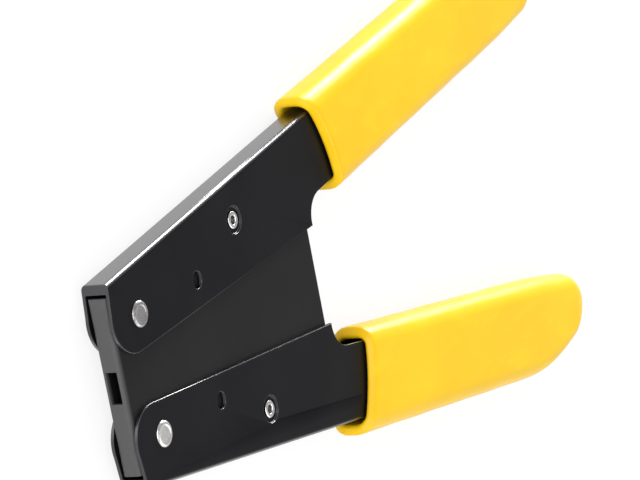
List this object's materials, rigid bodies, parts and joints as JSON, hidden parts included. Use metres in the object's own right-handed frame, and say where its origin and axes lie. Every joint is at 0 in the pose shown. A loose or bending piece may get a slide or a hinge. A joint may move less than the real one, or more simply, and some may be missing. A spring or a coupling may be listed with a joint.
{
  "type": "fibre drop cable stripper",
  "caption": "Plier-shaped stripper for flat fibre drop cable, with sprung sleeved levers closing blades inside a slim folded steel head",
  "frame": {"origin": "the middle of the cable window, on the front face of the nose, at mid thickness", "axes": "X from the nose to the handles, Y across the handles with the upper lever at plus Y, Z through the thickness"},
  "size_m": [0.173, 0.0892, 0.0092],
  "materials": {
    "black_enamel": "satin black enamel on pressed steel",
    "plate_enamel": "satin black enamel on folded steel",
    "yellow_pvc": "glossy yellow PVC sleeve",
    "rivet_steel": "bright turned steel",
    "blade_steel": "ground hardened steel",
    "arm_steel": "plain stamped steel",
    "bush_brass": "turned brass"
  },
  "bodies": {
    "frame": {"frame_shell": "plate_enamel", "upper_pivot_rivet": "rivet_steel", "lower_pivot_rivet": "rivet_steel", "upper_pivot_bush": "bush_brass", "lower_pivot_bush": "bush_brass", "return_spring": "arm_steel"},
    "upper_arm": {"upper_lever": "black_enamel", "upper_grip": "yellow_pvc", "upper_jaw": "arm_steel", "upper_blade": "blade_steel", "upper_blade_screw": "arm_steel", "upper_tie_rivet": "rivet_steel", "upper_tie_bush": "bush_brass"},
    "lower_arm": {"lower_lever": "black_enamel", "lower_grip": "yellow_pvc", "lower_jaw": "arm_steel", "lower_blade": "blade_steel", "lower_blade_screw": "arm_steel", "lower_tie_rivet": "rivet_steel", "lower_tie_bush": "bush_brass"}
  },
  "joints": [
    {"name": "upper_squeeze", "type": "hinge", "parent": "frame", "child": "upper_arm", "pos_m": [0.0078, 0.0105, 0], "axis": [0, 0, 1], "range_deg": [-8.6, 0], "stiffness_Nm_per_rad": 1, "springref_deg": 11.46, "deforming": ["return_spring"]},
    {"name": "lower_squeeze", "type": "hinge", "parent": "frame", "child": "lower_arm", "pos_m": [0.0078, -0.0105, 0], "axis": [0, 0, 1], "range_deg": [0, 8.6], "stiffness_Nm_per_rad": 1, "springref_deg": -11.46, "deforming": ["return_spring"]}
  ]
}
